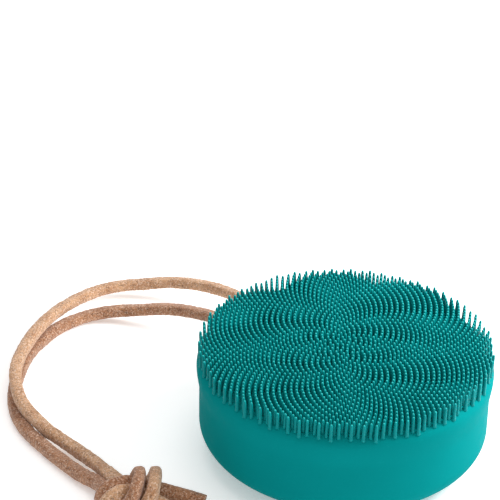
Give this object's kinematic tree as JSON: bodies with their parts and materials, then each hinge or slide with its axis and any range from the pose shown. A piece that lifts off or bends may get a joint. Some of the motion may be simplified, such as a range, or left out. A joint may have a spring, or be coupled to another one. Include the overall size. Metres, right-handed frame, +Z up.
{
  "type": "silicone cleansing brush",
  "caption": "Round rechargeable silicone cleansing brush, dense short bristles on its face, with a doubled leather wrist strap tied in a knot.",
  "frame": {"origin": "middle of the body's underside, on the surface it rests on", "axes": "+Z up through the bristles; +Y towards the side that the strap leaves; the strap lies towards -X"},
  "size_m": [0.1419, 0.1248, 0.0345],
  "materials": {
    "silicone": "soft satin teal silicone",
    "bristles": "satin teal silicone bristles",
    "housing": "moulded grey plastic",
    "seal_rubber": "matte black rubber",
    "steel": "plain steel",
    "cover": "fine-textured dark teal plastic",
    "button": "soft-touch teal",
    "gold_contact": "gold-plated",
    "nickel": "nickel-plated",
    "light_plastic": "clear plastic",
    "board": "green solder mask",
    "dark_plastic": "black moulded",
    "ivory_plastic": "ivory moulded",
    "battery_wrap": "foil pouch",
    "foam": "closed-cell foam",
    "red_lead": "lead insulation",
    "black_lead": "lead insulation",
    "weight_brass": "turned brass",
    "socket_plastic": "dark teal moulded plastic",
    "leather": "natural vegetable-tanned leather, rough-grained"
  },
  "bodies": {
    "body": {"silicone_skin": "silicone", "bristle_field": "bristles", "housing_base": "housing", "housing_lid": "housing", "housing_seal": "seal_rubber", "housing_screw_1": "steel", "housing_screw_2": "steel", "housing_screw_3": "steel", "housing_screw_4": "steel", "base_cover": "cover", "charge_pin_left": "gold_contact", "charge_pin_right": "gold_contact", "charge_magnet_left": "nickel", "charge_magnet_right": "nickel", "light_pipe": "light_plastic", "status_led": "light_plastic", "control_board": "board", "control_chip": "dark_plastic", "lead_socket": "ivory_plastic", "board_screw_1": "steel", "board_screw_2": "steel", "board_screw_3": "steel", "tact_switch": "dark_plastic", "chassis": "housing", "chassis_screw_1": "steel", "chassis_screw_2": "steel", "chassis_screw_3": "steel", "battery_cell": "battery_wrap", "battery_pad": "foam", "battery_lead_red": "red_lead", "battery_lead_black": "black_lead", "motor_can": "steel", "motor_clamp": "steel", "clamp_screw_1": "steel", "clamp_screw_2": "steel", "motor_lead_red": "red_lead", "motor_lead_black": "black_lead", "strap_socket": "socket_plastic", "strap_bar": "steel", "strap_strand_a": "leather", "strap_strand_b": "leather", "strap_knot": "leather", "strap_tail_a": "leather", "strap_tail_b": "leather"},
    "button": {"power_button": "button"},
    "plunger": {"switch_plunger": "ivory_plastic"},
    "rotor": {"motor_shaft": "steel", "eccentric_weight": "weight_brass"}
  },
  "joints": [
    {"name": "button_press", "type": "slide", "parent": "body", "child": "button", "axis": [0, 0, 1], "range_m": [0, 0.0005], "stiffness_N_per_m": 800},
    {"name": "plunger_press", "type": "slide", "parent": "body", "child": "plunger", "axis": [0, 0, 1], "range_m": [0, 0.0005]},
    {"name": "rotor_spin", "type": "hinge", "parent": "body", "child": "rotor", "pos_m": [0, -0.015, 0.0184], "axis": [1, 0, 0], "continuous": true}
  ],
  "couplings": [
    {"joint": "plunger_press", "follows": "button_press", "ratio": 1}
  ]
}
